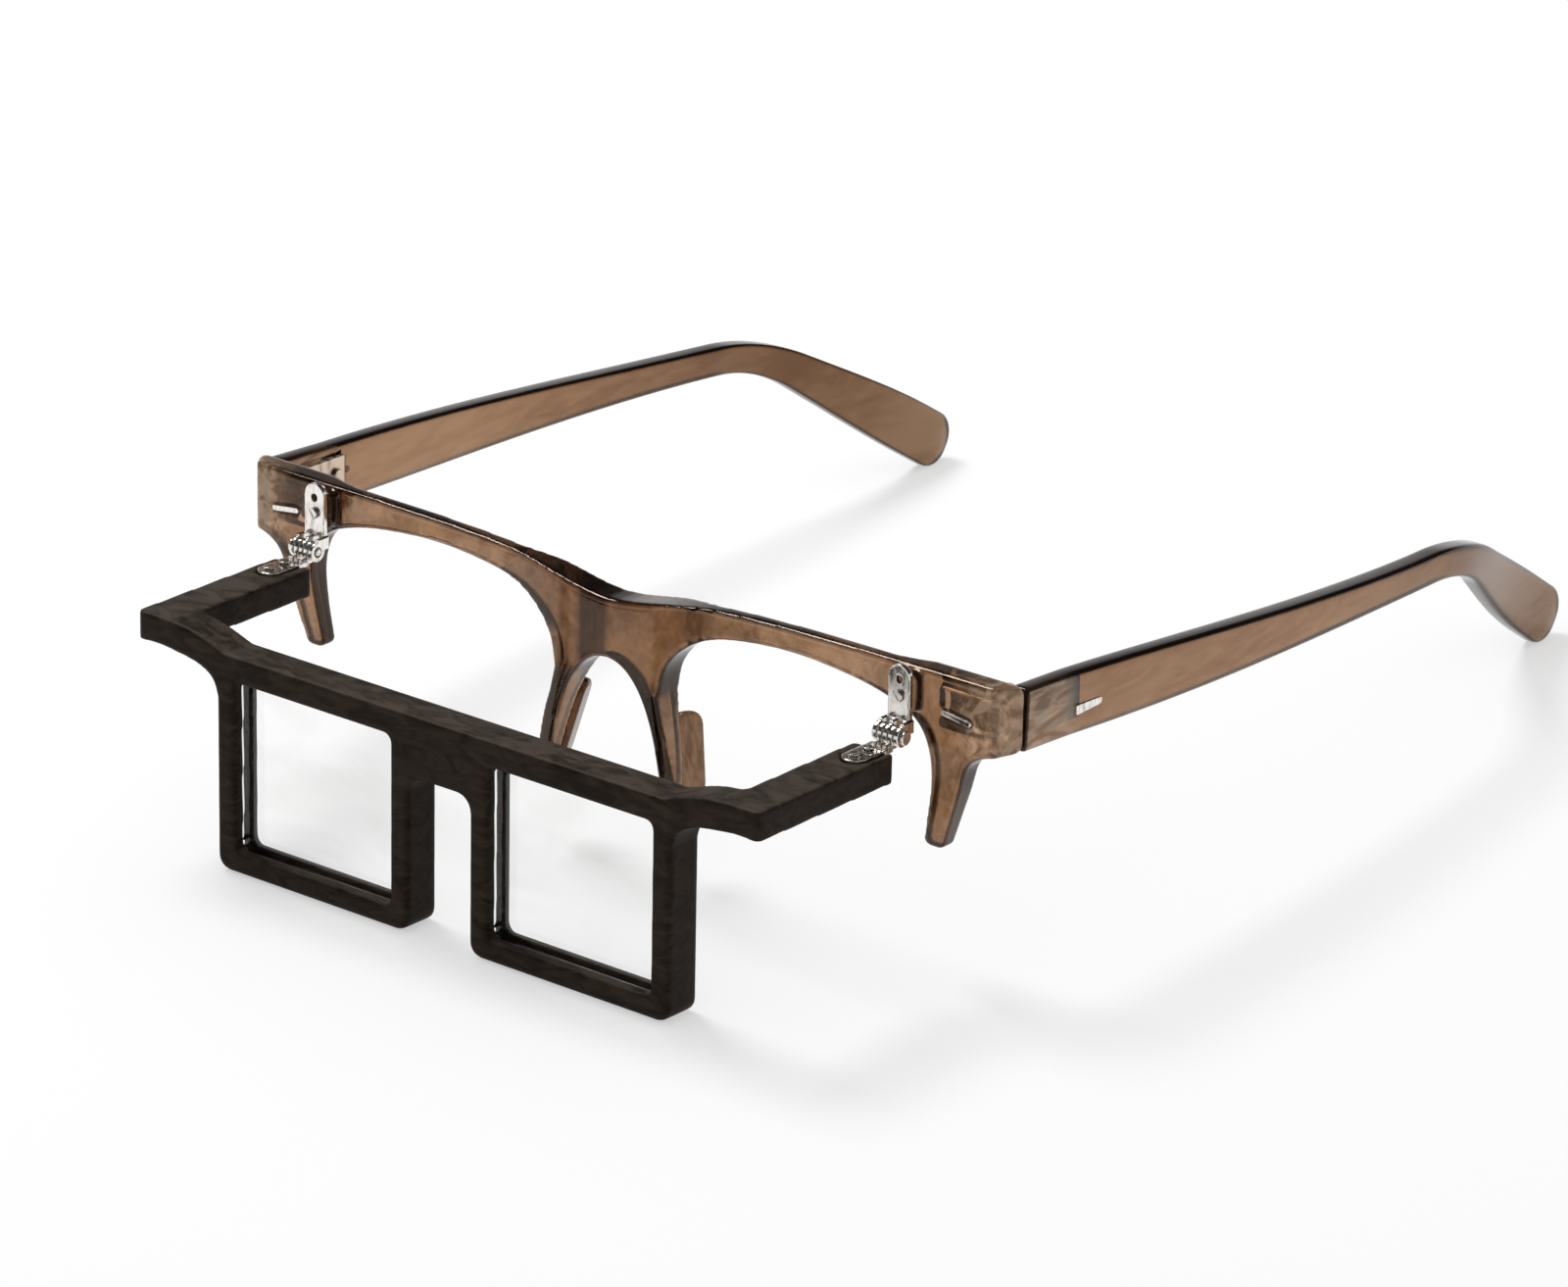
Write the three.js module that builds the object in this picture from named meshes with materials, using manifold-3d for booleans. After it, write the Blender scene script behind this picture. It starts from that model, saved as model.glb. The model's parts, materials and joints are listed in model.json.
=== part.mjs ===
// Spectacle front with cut-open rims that carries a flip-up lens holder.
// Frame while modelling: X towards the wearer's left side, Y from the front towards the ears,
// Z up. The front face of the spectacle front is y = 0, and z = 0 is the top corner of its
// endpieces. The finished part is then leaned until the holder and both temple tips stand on
// one plane, with the origin at the bottom centre of its box.
import * as THREE from 'three';
import { mergeVertices } from 'three/addons/utils/BufferGeometryUtils.js';
import Module from 'manifold-3d';

const wasm = await Module();
wasm.setup();

// Driving dimensions, in millimetres and degrees.

// spectacle front
const frontWidth = 143.2; // across the endpieces at the temple joints
const endpieceFlare = 2.2; // each side is this much narrower at its front face
const endpieceDepth = 4.3;
const browDepth = 2.6;
const noseDepth = 4;
const frontEdgeRound = 0.5;
const browHeight = 3.6; // bar over the middle of each rim opening
const browRise = 1; // top of the bar above the endpiece corner
const bridgeDip = 2.8; // top of the bridge below the endpiece corner
const bridgeSpread = 13; // how quickly the dip runs out sideways
const bridgeHeight = 9.15;
const bridgeBulge = 1.2; // bridge and nose legs in front of the endpieces
const bulgeRun = 14; // length over which the bulge fades, each side
const noseArchRound = 11.5; // the arch over the nose: a larger value is wider
const noseArchFade = 19; // and a larger value spreads its legs more
const noseLegDrop = 31; // end of the inner legs below the endpiece corner
const noseLegWidth = 2.8;
const noseTaper = 2.8; // the inner legs are this much thinner at their ends, from behind
const noseTaperTop = 15; // where that starts, below the endpiece corner
const noseWaist = 9.8; // half the width of the front across the bridge
const endpieceHeight = 9.2;
const endpieceRound = 1.6;
const rimInset = 13.5; // widest point of the rim opening from the outer end
const legDrop = 25.7; // end of the outer legs below the endpiece corner
const legTipInset = 13.2; // middle of the leg's end from the outer end
const legTipWidth = 3.6;
const legTipRound = 1;
const legSetback = 1.3; // front of the leg's end behind the front face

// nose pads
const padHeight = 12.5;
const padReach = 4.6;
const padThickness = 2;
const padSplay = 24;
const padTop = 19.3; // top of the pads below the endpiece corner
const padTuck = 0.5; // pads nearer each other than the middle of the legs

// temples
const templeThickness = 3.8;
const templeTipThickness = 3;
const templeRun = 100.6; // from the joint to the start of the ear bend
const templeTipLength = 35.8;
const templeSag = 3; // slope of the run, degrees
const templeBow = 1.4; // how far the run bulges outwards
const earDrop = 32.1; // slope of the tip, degrees
const earBendRadius = 36.9;
const tipToe = 10.1; // how far each tip leans in
const toeSetback = 9; // from the start of the ear bend to where the tip leans in
const toeEase = 0.2; // how gently it starts to lean
const templeRootHeight = 9.2;
const templeNeckHeight = 4.7;
const templeTipHeight = 9.2;

// temple hinges
const hingeKnuckleRadius = 1.5;
const hingeHeight = 5.4;
const hingePlate = 0.7;
const hingeLeafLength = 8.5;
const hingeScrewRadius = 0.6;

// decorative bars
const barLength = 5.3;
const barInset = 8.8; // middle of the bar from the outer end of the front
const barDrop = 4.9; // and below the endpiece corner
const barSlope = -7;
const barWidth = 0.9;
const barThickness = 0.55;
const barProud = 0.25;
const templeBarLength = 5.8;
const templeBarWidth = 1.5; // at its front end
const templeBarEndWidth = 1.1;
const templeBarSetback = 10.7; // behind the temple joint
const templeBarDrop = 0.7; // below the middle of the temple

// flip hinges
const flipOffset = 0.35; // middle of the hinge outside the middle of the arm
const flipAxisReach = 1.6; // hinge axis in front of the upper leaf
const flipAxisDrop = 8.05; // hinge axis below the endpiece corner
const flipBarrelRadius = 1.5;
const flipBarrelLength = 4.5;
const flipKnuckles = 5;
const flipPinRadius = 0.55;
const leafThickness = 0.8;
const leafWidth = 3.8;
const leafTop = 1.7; // above the endpiece corner
const leafStandOff = 1.65; // boss between the front and the upper leaf
const bossMargin = 0.3; // boss wider than the leaf, each side
const bossHeight = 5.6;
const bossRound = 0.8;
const openHoleDrop = 2.2; // open hole below the top of the leaf
const screwHoleDrop = 4.55; // screw below the top of the leaf
const leafHoleRadius = 0.6;
const smallScrewRadius = 0.45;
const smallScrewHeadRadius = 0.85;
const smallScrewHead = 0.3;
const smallScrewLength = 2.4;
const lowerLeafLength = 6.6;

// flip-up holder
const wingReach = 8.3; // from the arm in to the side of the window frame
const holderHeight = 33.2;
const holderDepth = 6.4;
const holderHalfGap = 5.8; // between the two windows' frames, below the bridge piece
const holderBridgeHeight = 9.4;
const borderOuter = 3.35;
const borderInner = 3.35;
const borderTop = 4;
const borderBottom = 3.2;
const windowRound = 1.2;
const holderRound = 2;
const holderEdgeRound = 0.4;
const armInset = 13.6; // outer side of the arm from the outer end of the front
const armWidth = 7.3;
const armHeight = 4.35;
const armDrop = 1.2; // arm top below the hinge axis
const armLift = 2.45; // arm top above the top of the window frames
const armGap = 1.6; // between the hinge's barrel and the end of the arm
const armLength = 29.4;
const armCornerRadius = 1.2;

// flat lenses in the holder
const lensThickness = 2.2;
const lensRecess = 2.3; // front of the lens behind the front plane
const grooveDepth = 1.1;

const clearance = 0.25; // between pieces that sit on each other

// Values worked out from them.
const halfFront = frontWidth / 2;
const rimOuter = halfFront - rimInset;
const legTipX = halfFront - legTipInset;
const archTop = -bridgeDip - bridgeHeight;
const templeInner = halfFront - templeThickness;
const templeStart = endpieceDepth + 2 * clearance;
const hingeX = templeInner - clearance - hingeKnuckleRadius;
const hingeY = endpieceDepth + 2 * clearance + hingePlate + hingeKnuckleRadius;
const hingeMidZ = -endpieceHeight / 2;
const frontDepth = Math.max(endpieceDepth, noseDepth);
const leafFront = -leafStandOff - clearance - leafThickness;
const flipAxisY = leafFront - flipAxisReach;
const flipAxisZ = -flipAxisDrop;
const armOuter = halfFront - armInset;
const armInner = armOuter - armWidth;
const flipX = armOuter - armWidth / 2 + flipOffset;
const armTop = flipAxisZ - armDrop;
const armEnd = flipAxisY - flipBarrelRadius - armGap;
const holderHalfWidth = armInner - wingReach;
const holderFront = armEnd - armLength;
const holderTop = armTop - armLift;
const windowLeft = holderHalfGap + borderInner;
const windowRight = holderHalfWidth - borderOuter;
const windowTop = holderTop - borderTop;
const windowBottom = holderTop - holderHeight + borderBottom;

const finishes = {
  frontPlastic: { color: 0x8f6a4c, roughness: 0.16, metalness: 0 },
  padPlastic: { color: 0x9a7656, roughness: 0.22, metalness: 0 },
  holderPlastic: { color: 0x2c2622, roughness: 0.55, metalness: 0 },
  brightMetal: { color: 0xd2cfc9, roughness: 0.25, metalness: 1 },
  darkMetal: { color: 0x6f6a64, roughness: 0.35, metalness: 1 },
  lensClear: { color: 0xe6e6e3, roughness: 0.05, metalness: 0 },
};

// Joining and cutting.

function toSolid(geometry) {
  const bare = geometry.index ? geometry : geometry.clone();
  bare.deleteAttribute('normal');
  bare.deleteAttribute('uv');
  const welded = mergeVertices(bare, 1e-4);
  const vertProperties = new Float32Array(welded.attributes.position.array);
  const triVerts = new Uint32Array(welded.index.array);
  return new wasm.Manifold(new wasm.Mesh({ numProp: 3, vertProperties, triVerts }));
}

function toGeometry(solid) {
  const data = solid.getMesh();
  const geometry = new THREE.BufferGeometry();
  geometry.setAttribute('position', new THREE.BufferAttribute(data.vertProperties, 3));
  geometry.setIndex(new THREE.BufferAttribute(data.triVerts, 1));
  geometry.computeVertexNormals();
  return geometry;
}

function joined(...solids) {
  return solids.reduce((all, one) => all.add(one));
}

function cut(solid, ...tools) {
  return tools.reduce((left, tool) => left.subtract(tool), solid);
}

// Plain solids, placed by their limits.

function block(x0, x1, y0, y1, z0, z1) {
  const geometry = new THREE.BoxGeometry(x1 - x0, y1 - y0, z1 - z0);
  geometry.translate((x0 + x1) / 2, (y0 + y1) / 2, (z0 + z1) / 2);
  return toSolid(geometry);
}

function rod(axis, radius, from, to, centre, sides = 16) {
  const geometry = new THREE.CylinderGeometry(radius, radius, to - from, sides);
  const middle = (from + to) / 2;
  if (axis === 'x') geometry.rotateZ(-Math.PI / 2).translate(middle, centre[0], centre[1]);
  if (axis === 'y') geometry.translate(centre[0], middle, centre[1]);
  if (axis === 'z') geometry.rotateX(Math.PI / 2).translate(centre[0], centre[1], middle);
  return toSolid(geometry);
}

// A plate with its outline seen from the front, from y0 back to y1.
function frontPlate(outline, y0, y1, edge = 0, holes = []) {
  const shape = new THREE.Shape(outline.map(([x, z]) => new THREE.Vector2(x, z)));
  for (const hole of holes) {
    const points = hole.map(([x, z]) => new THREE.Vector2(x, z));
    shape.holes.push(new THREE.Path(points.reverse())); // holes run against the outline
  }
  const geometry = new THREE.ExtrudeGeometry(shape, {
    depth: y1 - y0 - 2 * edge,
    bevelEnabled: edge > 0,
    bevelThickness: edge,
    bevelSize: edge,
    bevelOffset: -edge,
    bevelSegments: 1,
  });
  geometry.rotateX(Math.PI / 2).translate(0, y1 - edge, 0);
  return toSolid(geometry);
}

// A plate with its outline seen from above, from z0 up to z1.
function topPlate(outline, z0, z1) {
  const shape = new THREE.Shape(outline.map(([x, y]) => new THREE.Vector2(x, y)));
  const geometry = new THREE.ExtrudeGeometry(shape, { depth: z1 - z0, bevelEnabled: false });
  geometry.translate(0, 0, z0);
  return toSolid(geometry);
}

// A closed skin through rings that all have the same number of points.
function loft(rings) {
  const sides = rings[0].length;
  const points = rings.flat();
  const faces = [];
  for (let ring = 0; ring < rings.length - 1; ring += 1) {
    for (let side = 0; side < sides; side += 1) {
      const a = ring * sides + side;
      const b = ring * sides + (side + 1) % sides;
      faces.push(a, a + sides, b, b, a + sides, b + sides);
    }
  }
  const last = (rings.length - 1) * sides;
  for (let side = 1; side < sides - 1; side += 1) {
    faces.push(0, side, side + 1);
    faces.push(last, last + side + 1, last + side);
  }
  const geometry = new THREE.BufferGeometry().setFromPoints(points);
  geometry.setIndex(faces);
  return toSolid(geometry);
}

// Outlines.

function smooth(value, from, to) {
  return THREE.MathUtils.smoothstep(value, from, to);
}

function arc(cx, cz, radius, start, end, steps) {
  return Array.from({ length: steps + 1 }, (_, i) => {
    const angle = THREE.MathUtils.degToRad(start + (end - start) * i / steps);
    return [cx + radius * Math.cos(angle), cz + radius * Math.sin(angle)];
  });
}

function roundedRect(x0, x1, z0, z1, radius, steps = 4) {
  return [
    ...arc(x1 - radius, z1 - radius, radius, 90, 0, steps),
    ...arc(x1 - radius, z0 + radius, radius, 0, -90, steps),
    ...arc(x0 + radius, z0 + radius, radius, -90, -180, steps),
    ...arc(x0 + radius, z1 - radius, radius, 180, 90, steps),
  ];
}

// A smooth line through a few points.
function through(points, steps) {
  const curve = new THREE.SplineCurve(points.map(([x, z]) => new THREE.Vector2(x, z)));
  return curve.getPoints(steps).map((p) => [p.x, p.y]);
}

function mirroredOutline(half) {
  const other = half.filter(([x]) => x > 1e-6).map(([x, z]) => [-x, z]);
  return [...half, ...other.reverse()];
}

// Bodies. Each group stands on its joint, so turning it works the joint.

const part = new THREE.Group();

function body(x, y, z) {
  const group = new THREE.Group();
  group.position.set(x, y, z);
  part.add(group);
  return group;
}

const spectacles = body(0, 0, 0);
const holder = body(0, flipAxisY, flipAxisZ);
const temples = { left: body(-hingeX, hingeY, 0), right: body(hingeX, hingeY, 0) };

function addPart(group, name, solid, finish) {
  const geometry = toGeometry(solid);
  geometry.translate(-group.position.x, -group.position.y, -group.position.z);
  const mesh = new THREE.Mesh(geometry, new THREE.MeshStandardMaterial(finishes[finish]));
  mesh.name = name;
  group.add(mesh);
}

// Both hands of a piece that is modelled on the +X side.
function addPair(groups, name, solid, finish) {
  addPart(groups.right, `${name}_right`, solid, finish);
  addPart(groups.left, `${name}_left`, solid.mirror([1, 0, 0]), finish);
}

const onFront = { left: spectacles, right: spectacles };
const onHolder = { left: holder, right: holder };

// Spectacle front: brow bar, bridge, endpieces, two outer legs and two inner legs.

function browLine(x) {
  return browRise - (browRise + bridgeDip) / (1 + (x / bridgeSpread) ** 2);
}

// Half the width of the arch at a height.
function archX(z) {
  const drop = Math.max(0, archTop - z);
  return Math.sqrt(noseArchRound * drop / (1 + drop / noseArchFade));
}

function browTopEdge() {
  const end = halfFront - endpieceRound;
  const steps = 36;
  return Array.from({ length: steps + 1 }, (_, i) => {
    const x = end * i / steps;
    return [x, browLine(x)];
  });
}

function endpieceAndLegOuter() {
  const top = browLine(halfFront) - endpieceRound;
  const tipZ = -legDrop + legTipRound;
  const corner = arc(halfFront - endpieceRound, top, endpieceRound, 60, 0, 4);
  const neck = through([
    [halfFront, -endpieceHeight + 1.2],
    [halfFront - 1, -endpieceHeight + 0.1],
    [halfFront - 4.6, -endpieceHeight - 0.9],
    [halfFront - 7.2, -endpieceHeight - 2.9],
    [halfFront - 8.7, -endpieceHeight - 7.5],
    [legTipX + legTipWidth / 2, tipZ],
  ], 24);
  return [...corner, ...neck];
}

function legTip() {
  const z = -legDrop + legTipRound;
  const reach = legTipWidth / 2 - legTipRound;
  return [
    ...arc(legTipX + reach, z, legTipRound, -25, -80, 3),
    ...arc(legTipX - reach, z, legTipRound, -100, -155, 3),
  ];
}

// The rim opening from the leg, under the brow, to the side of the nose.
function rimEdge() {
  const span = rimOuter - noseWaist;
  const top = browLine(noseWaist + span / 2) - browHeight;
  return through([
    [legTipX - legTipWidth / 2, -legDrop + legTipRound],
    [rimOuter - 0.25, top - 15],
    [rimOuter, top - 10],
    [rimOuter - 0.025 * span, top - 6],
    [rimOuter - 0.075 * span, top - 3.6],
    [rimOuter - 0.16 * span, top - 2],
    [rimOuter - 0.28 * span, top - 0.8],
    [rimOuter - 0.47 * span, top],
    [noseWaist + 0.35 * span, top - 0.35],
    [noseWaist + 0.18 * span, top - 1.8],
    [noseWaist + 0.08 * span, top - 4.4],
    [noseWaist + 0.02 * span, top - 8],
    [noseWaist, top - 12.5],
  ], 60);
}

function noseLegOuter() {
  const tipZ = -noseLegDrop + noseLegWidth / 2;
  const start = archTop - 7.5;
  return Array.from({ length: 5 }, (_, i) => {
    const z = start + (tipZ - start) * i / 4;
    return [archX(z) + noseLegWidth, z];
  });
}

function noseLegTip() {
  const z = -noseLegDrop + noseLegWidth / 2;
  return arc(archX(z) + noseLegWidth / 2, z, noseLegWidth / 2, -30, -150, 4);
}

function noseArch() {
  const drop = archTop + noseLegDrop - noseLegWidth / 2;
  const steps = 16;
  return Array.from({ length: steps + 1 }, (_, i) => {
    const z = archTop - drop * (1 - i / steps) ** 2;
    return [archX(z), z];
  });
}

function frontOutline() {
  return mirroredOutline([
    ...browTopEdge(),
    ...endpieceAndLegOuter(),
    ...legTip(),
    ...rimEdge(),
    ...noseLegOuter(),
    ...noseLegTip(),
    ...noseArch(),
  ]);
}

const bothSides = [-1, 1];
const leafScrewZ = leafTop - screwHoleDrop;
const barMid = { x: halfFront - barInset, z: -barDrop };

// A decorative bar seen from the front, round at both ends, its middle at x, z.
function barOutline(x, z, slope, grow = 0) {
  const reach = (barLength - barWidth) / 2;
  const radius = barWidth / 2 + grow;
  const ends = [...arc(reach, 0, radius, 90, -90, 6), ...arc(-reach, 0, radius, -90, -270, 6)];
  const turn = THREE.MathUtils.degToRad(slope);
  return ends.map(([u, v]) => [
    x + u * Math.cos(turn) - v * Math.sin(turn),
    z + u * Math.sin(turn) + v * Math.cos(turn),
  ]);
}

function mirrorOutline(outline) {
  return outline.map(([x, z]) => [-x, z]).reverse();
}

const bar = frontPlate(barOutline(barMid.x, barMid.z, barSlope), -barProud, barThickness - barProud);
addPair(onFront, 'front_bar', bar, 'brightMetal');

// Back of the inner legs at a height.
const legBackSlope = noseTaper / (noseLegDrop - noseTaperTop);

function legBack(z) {
  return noseDepth - legBackSlope * Math.max(0, -noseTaperTop - z);
}

// Nose pads: a round-cornered plate behind each inner leg that opens out towards the face.

function makeNosePad() {
  const outline = roundedRect(0, padReach, -padHeight, 0, padReach * 0.42, 4);
  const shape = new THREE.Shape(outline.map(([u, v]) => new THREE.Vector2(u, v)));
  const geometry = new THREE.ExtrudeGeometry(shape, {
    depth: padThickness - 0.8,
    bevelThickness: 0.4,
    bevelSize: 0.4,
    bevelOffset: -0.4,
    bevelSegments: 1,
  });
  const topX = archX(-padTop) + noseLegWidth / 2 - padTuck;
  const bottomX = archX(-padTop - padHeight) + noseLegWidth / 2 - padTuck;
  const lean = Math.atan2(bottomX - topX, padHeight);
  geometry.translate(0, 0, -padThickness / 2 + 0.4);
  geometry.rotateX(Math.PI / 2); // outline now runs along X and Z
  geometry.rotateZ(Math.PI / 2 - THREE.MathUtils.degToRad(padSplay));
  geometry.rotateY(-lean);
  geometry.rotateX(-Math.atan(legBackSlope));
  geometry.translate(topX, 0, -padTop);
  const places = geometry.attributes.position;
  let low = Infinity;
  for (let i = 0; i < places.count; i += 1) {
    low = Math.min(low, places.getY(i) - legBack(places.getZ(i)));
  }
  geometry.translate(0, clearance * Math.hypot(1, legBackSlope) - low, 0);
  return toSolid(geometry);
}

addPair(onFront, 'nose_pad', makeNosePad(), 'padPlastic');

// Temple hinges: a plate behind each endpiece and one inside each temple, on one screw.

const knuckleGap = clearance;
const knuckleHeight = (hingeHeight - 2 * knuckleGap) / 3;
const hingeLow = hingeMidZ - hingeHeight / 2;
const hingeHigh = hingeMidZ + hingeHeight / 2;
const hingeHole = hingeScrewRadius + clearance;
const rivetRadius = 0.55;
const rivetHeadRadius = 0.95;
const rivetHead = 0.35;
const rivetGrip = 1.1; // into the plastic
const frontLeafEnd = hingeX - 7.2;

function hingeBore() {
  return rod('z', hingeHole, hingeLow - 1, hingeHigh + 1, [hingeX, hingeY], 12);
}

function frontLeafRivets() {
  return [0, 1].map((i) => hingeX - 3 - 2.6 * i);
}

function makeFrontLeaf() {
  const back = endpieceDepth + clearance;
  let leaf = block(frontLeafEnd, hingeX + 1.2, back, back + hingePlate, hingeLow, hingeHigh);
  for (const low of [hingeLow, hingeHigh - knuckleHeight]) {
    const high = low + knuckleHeight;
    const barrel = rod('z', hingeKnuckleRadius, low, high, [hingeX, hingeY]);
    const web = block(hingeX - hingeKnuckleRadius, hingeX + 0.6, back, hingeY, low, high);
    leaf = joined(leaf, barrel, web);
  }
  const holes = frontLeafRivets().map((x) => (
    rod('y', rivetRadius + clearance, back - 1, back + 2, [x, hingeMidZ], 10)));
  return cut(leaf, hingeBore(), ...holes);
}

function makeRearLeaf() {
  const low = hingeLow + knuckleHeight + knuckleGap;
  const high = low + knuckleHeight;
  const outer = templeInner - clearance;
  const start = hingeY + hingeKnuckleRadius + clearance;
  const plate = block(outer - hingePlate, outer, start, start + hingeLeafLength, hingeLow, hingeHigh);
  const barrel = rod('z', hingeKnuckleRadius, low, high, [hingeX, hingeY]);
  const web = block(hingeX + 0.2, outer, hingeY, start + 0.6, low, high);
  const holes = rearLeafRivets().map((y) => (
    rod('x', rivetRadius + clearance, outer - 2, outer + 1, [y, hingeMidZ], 10)));
  return cut(joined(plate, barrel, web), hingeBore(), ...holes);
}

function rearLeafRivets() {
  const start = hingeY + hingeKnuckleRadius + clearance;
  return [start + 2.6, start + hingeLeafLength - 1.8];
}

// Screw with a flat head on top, for the two knuckle bores.
function makeHingeScrew() {
  const seat = hingeHigh + clearance;
  const head = rod('z', hingeScrewRadius + 0.55, seat, seat + 0.5, [hingeX, hingeY]);
  return joined(head, rod('z', hingeScrewRadius, hingeLow, seat + 0.1, [hingeX, hingeY], 12));
}

function makeFrontRivet(x) {
  const back = endpieceDepth + 2 * clearance + hingePlate;
  const head = rod('y', rivetHeadRadius, back, back + rivetHead, [x, hingeMidZ], 12);
  return joined(head, rod('y', rivetRadius, endpieceDepth - rivetGrip, back + 0.1, [x, hingeMidZ], 8));
}

function makeRearRivet(y) {
  const inner = templeInner - 2 * clearance - hingePlate;
  const head = rod('x', rivetHeadRadius, inner - rivetHead, inner, [y, hingeMidZ], 12);
  const shank = rod('x', rivetRadius, inner - 0.1, templeInner + rivetGrip, [y, hingeMidZ], 8);
  return joined(head, shank);
}

// Back of the front seen from above: deep at the nose and endpieces, thin along the brow.
function backLine(x) {
  const nose = (noseDepth - browDepth) * (1 - smooth(x, noseWaist, 2 * noseWaist));
  const endStart = frontLeafEnd - 1;
  return browDepth + nose + (endpieceDepth - browDepth) * smooth(x, endStart - 7, endStart);
}

function planOutline() {
  const steps = 24;
  const back = Array.from({ length: steps + 1 }, (_, i) => {
    const x = halfFront * (1 - i / steps);
    return [x, backLine(x)];
  });
  const narrow = halfFront - endpieceFlare;
  const round = 1.4;
  const corner = arc(narrow - round, round, round, -90, -25, 4);
  return mirroredOutline([[0, -1], [narrow - 2 * round, -1], [narrow - 2 * round, 0],
    ...corner, ...back]);
}

// Front of the bridge seen from above: it bulges between the two rim openings.
function bulgeOutline() {
  const steps = 18;
  const end = noseWaist + bulgeRun;
  const rise = bridgeBulge + frontEdgeRound;
  const line = Array.from({ length: steps + 1 }, (_, i) => {
    const x = end * i / steps;
    return [x, rise * smooth(x, 0.6 * noseWaist, end) - bridgeBulge];
  });
  return mirroredOutline([...line, [end, browDepth / 2], [0, browDepth / 2]]);
}

// What the legs lose in front, seen from the side.
function legSlope() {
  const start = -endpieceHeight - 1;
  return [[-1, start], [0, start], [legSetback, -legDrop], [legSetback, -legDrop - 1],
    [-1, -legDrop - 1]];
}

// What the inner legs lose behind, seen from the side.
function noseTaperCut() {
  const low = -noseLegDrop - 1;
  return [[noseDepth, -noseTaperTop], [frontDepth + 1, -noseTaperTop], [frontDepth + 1, low],
    [legBack(low), low]];
}

function makeFront() {
  const plate = frontPlate(frontOutline(), 0, frontDepth, frontEdgeRound);
  const legFront = sidePlate(legSlope(), rimOuter - 8, halfFront);
  const low = -noseLegDrop - 2;
  const plan = topPlate(planOutline(), low, browRise + 2);
  const thick = frontPlate(frontOutline(), -bridgeBulge, frontDepth, frontEdgeRound);
  const bulge = thick.intersect(topPlate(bulgeOutline(), low, browRise + 2));
  const whole = joined(plate.intersect(plan), bulge);
  const noseWide = archX(-noseLegDrop) + 2 * noseLegWidth;
  const legBehind = sidePlate(noseTaperCut(), -noseWide, noseWide);
  let front = cut(whole, legFront, legFront.mirror([1, 0, 0]), legBehind);
  const slotDepth = barThickness - barProud + clearance;
  const slot = barOutline(barMid.x, barMid.z, barSlope, clearance);
  for (const side of bothSides) {
    const x = side * flipX;
    const bossHalf = leafWidth / 2 + bossMargin;
    const bossTop = browLine(flipX) - frontEdgeRound;
    const bossLow = bossTop - bossHeight;
    const boss = roundedRect(x - bossHalf, x + bossHalf, bossLow, bossTop, bossRound, 2);
    front = joined(front, frontPlate(boss, -leafStandOff, browDepth / 2));
    const screwDepth = leafFront + smallScrewLength + clearance;
    const hole = joined(
      rod('y', smallScrewRadius + clearance, -leafStandOff - 1, screwDepth, [x, leafScrewZ], 12),
      rod('y', leafHoleRadius, -leafStandOff - 1, 0.4, [x, leafTop - openHoleDrop], 12),
    );
    const outline = side > 0 ? slot : mirrorOutline(slot);
    front = cut(front, hole, frontPlate(outline, -1, slotDepth));
    for (const rivetX of frontLeafRivets()) {
      const rivetHole = rod('y', rivetRadius + clearance, endpieceDepth - rivetGrip - clearance,
        endpieceDepth + 1, [side * rivetX, hingeMidZ], 10);
      front = cut(front, rivetHole);
    }
  }
  return front;
}

addPart(spectacles, 'front_frame', makeFront(), 'frontPlastic');
addPair(onFront, 'temple_hinge_front_leaf', makeFrontLeaf(), 'darkMetal');
addPair(temples, 'temple_hinge_rear_leaf', makeRearLeaf(), 'darkMetal');
addPair(onFront, 'temple_hinge_screw', makeHingeScrew(), 'brightMetal');
frontLeafRivets().forEach((x, i) => {
  addPair(onFront, `front_leaf_rivet_${i + 1}`, makeFrontRivet(x), 'brightMetal');
});
rearLeafRivets().forEach((y, i) => {
  addPair(temples, `rear_leaf_rivet_${i + 1}`, makeRearRivet(y), 'brightMetal');
});

// Temples: a straight run, a bend over the ear and a paddle-shaped tip.

const bendLength = earBendRadius * THREE.MathUtils.degToRad(earDrop - templeSag);
const templeLength = templeRun + bendLength + templeTipLength;

// Height of the temple at a distance along it.
function templeHeight(s) {
  const neckAt = templeRun + 2;
  const fullAt = templeLength - templeTipHeight;
  const toNeck = smooth(s, 0.1 * templeRun, neckAt);
  const neck = THREE.MathUtils.lerp(templeRootHeight, templeNeckHeight, toNeck);
  const full = THREE.MathUtils.lerp(neck, templeTipHeight, smooth(s, neckAt, fullAt));
  const round = templeTipHeight / 2;
  const past = Math.max(0, s - (templeLength - round)) / round;
  return full * Math.sqrt(Math.max(0.02, 1 - past * past));
}

// The middle line: distance along it to y, z and slope.
function templeLine(s) {
  const sag = THREE.MathUtils.degToRad(templeSag);
  const drop = THREE.MathUtils.degToRad(earDrop);
  const run = Math.min(s, templeRun);
  const turned = Math.min(Math.max(0, s - templeRun), bendLength) / earBendRadius;
  const tip = Math.max(0, s - templeRun - bendLength);
  const slope = sag + turned;
  const bendY = earBendRadius * (Math.sin(slope) - Math.sin(sag));
  const bendZ = earBendRadius * (Math.cos(slope) - Math.cos(sag));
  return {
    y: templeStart + run * Math.cos(sag) + bendY + tip * Math.cos(drop),
    z: hingeMidZ - run * Math.sin(sag) + bendZ - tip * Math.sin(drop),
    slope,
  };
}

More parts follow.
